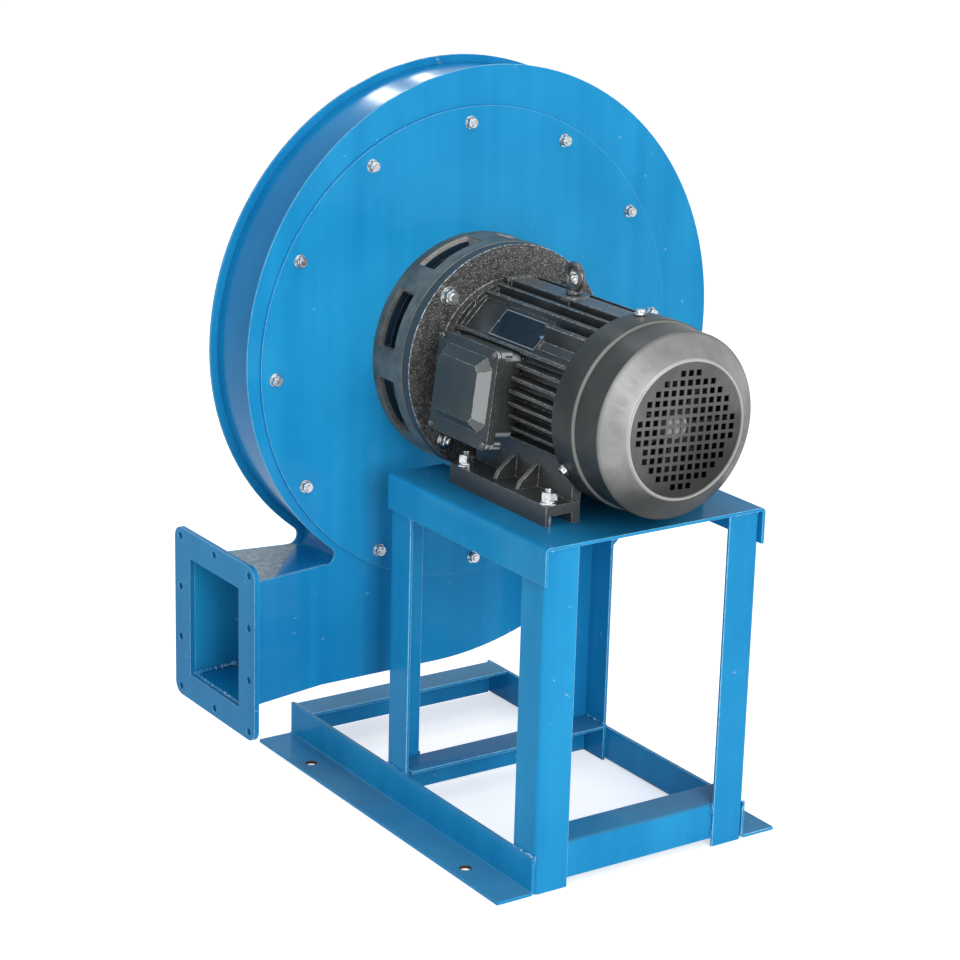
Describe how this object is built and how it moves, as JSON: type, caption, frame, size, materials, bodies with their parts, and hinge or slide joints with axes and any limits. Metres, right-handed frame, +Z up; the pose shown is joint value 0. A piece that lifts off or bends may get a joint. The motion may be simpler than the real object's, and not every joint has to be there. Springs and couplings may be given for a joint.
{
  "type": "high pressure centrifugal fan",
  "caption": "High pressure centrifugal fan: a narrow volute with a riveted radial impeller, direct driven by a flange and foot mounted motor on a welded angle stand.",
  "frame": {"origin": "on the floor, at the centre of the four holding-down holes of the base rails", "axes": "+Z up; +Y along the shaft from the motor to the inlet side; +X across, away from the outlet"},
  "size_m": [0.7405, 0.6342, 0.9415],
  "materials": {
    "blue_enamel": "glossy enamel over welded sheet steel",
    "black_paint": "satin black paint over iron castings",
    "grey_paint": "satin dark grey paint with a metallic sheen",
    "cast_iron": "dark cast iron, left rough",
    "zinc_steel": "zinc plated",
    "nameplate_metal": "thin dark plate, bare",
    "rubber": "matt black",
    "moulded_plastic": "moulded, matt",
    "copper": "varnished copper wire",
    "brass": "bright",
    "core_steel": "stacked laminations",
    "machined_steel": "machined",
    "bearing_steel": "ground and polished",
    "impeller_paint": "grey primer"
  },
  "bodies": {
    "casing_and_stand": {"base_rail_left": "blue_enamel", "base_rail_right": "blue_enamel", "front_cross_member": "blue_enamel", "middle_cross_member": "blue_enamel", "rear_cross_member": "blue_enamel", "front_leg_left": "blue_enamel", "front_leg_right": "blue_enamel", "rear_leg_left": "blue_enamel", "rear_leg_right": "blue_enamel", "motor_plate": "blue_enamel", "motor_frame": "black_paint", "drive_end_shield": "black_paint", "rear_shield": "black_paint", "drive_end_seal": "rubber", "stator_core": "core_steel", "stator_windings": "copper", "drive_end_outer_race": "bearing_steel", "rear_outer_race": "bearing_steel", "fan_cowl": "grey_paint", "cowl_screws": "zinc_steel", "lifting_eyebolt": "zinc_steel", "nameplate": "nameplate_metal", "nameplate_rivets": "zinc_steel", "terminal_box": "black_paint", "terminal_box_gasket": "rubber", "terminal_box_cover": "black_paint", "terminal_box_screws": "zinc_steel", "terminal_board": "moulded_plastic", "terminal_studs": "brass", "cable_plug": "moulded_plastic", "flange_studs": "zinc_steel", "foot_bolts": "zinc_steel", "spacer_ring": "cast_iron", "spacer_screws": "zinc_steel", "casing_cover": "blue_enamel", "cover_bolts": "zinc_steel", "hub_seal_ring": "cast_iron", "seal_screws": "zinc_steel", "volute_back_plate": "blue_enamel", "volute_front_plate": "blue_enamel", "volute_wrapper": "blue_enamel", "outlet_flange": "blue_enamel", "inlet_collar": "blue_enamel", "inlet_cone": "impeller_paint", "inlet_bolts": "zinc_steel"},
    "rotor": {"motor_shaft": "machined_steel", "shaft_key": "machined_steel", "rotor_core": "core_steel", "drive_end_inner_race": "bearing_steel", "rear_inner_race": "bearing_steel", "cooling_fan": "moulded_plastic", "impeller_hub": "machined_steel", "impeller_end_washer": "machined_steel", "impeller_lock_bolt": "zinc_steel", "impeller_back_disc": "impeller_paint", "impeller_rivets": "machined_steel", "impeller_shroud": "impeller_paint", "impeller_blades": "impeller_paint"},
    "drive_end_ball_set": {"drive_end_balls": "bearing_steel"},
    "rear_ball_set": {"rear_balls": "bearing_steel"}
  },
  "joints": [
    {"name": "rotor_spin", "type": "hinge", "parent": "casing_and_stand", "child": "rotor", "pos_m": [0, 0, 0.578], "axis": [0, 1, 0], "continuous": true},
    {"name": "drive_end_ball_spin", "type": "hinge", "parent": "casing_and_stand", "child": "drive_end_ball_set", "pos_m": [0, 0.0265, 0.578], "axis": [0, 1, 0], "continuous": true},
    {"name": "rear_ball_spin", "type": "hinge", "parent": "casing_and_stand", "child": "rear_ball_set", "pos_m": [0, -0.2525, 0.578], "axis": [0, 1, 0], "continuous": true}
  ],
  "couplings": [
    {"joint": "drive_end_ball_spin", "follows": "rotor_spin", "ratio": 0.3862},
    {"joint": "rear_ball_spin", "follows": "rotor_spin", "ratio": 0.3862}
  ]
}
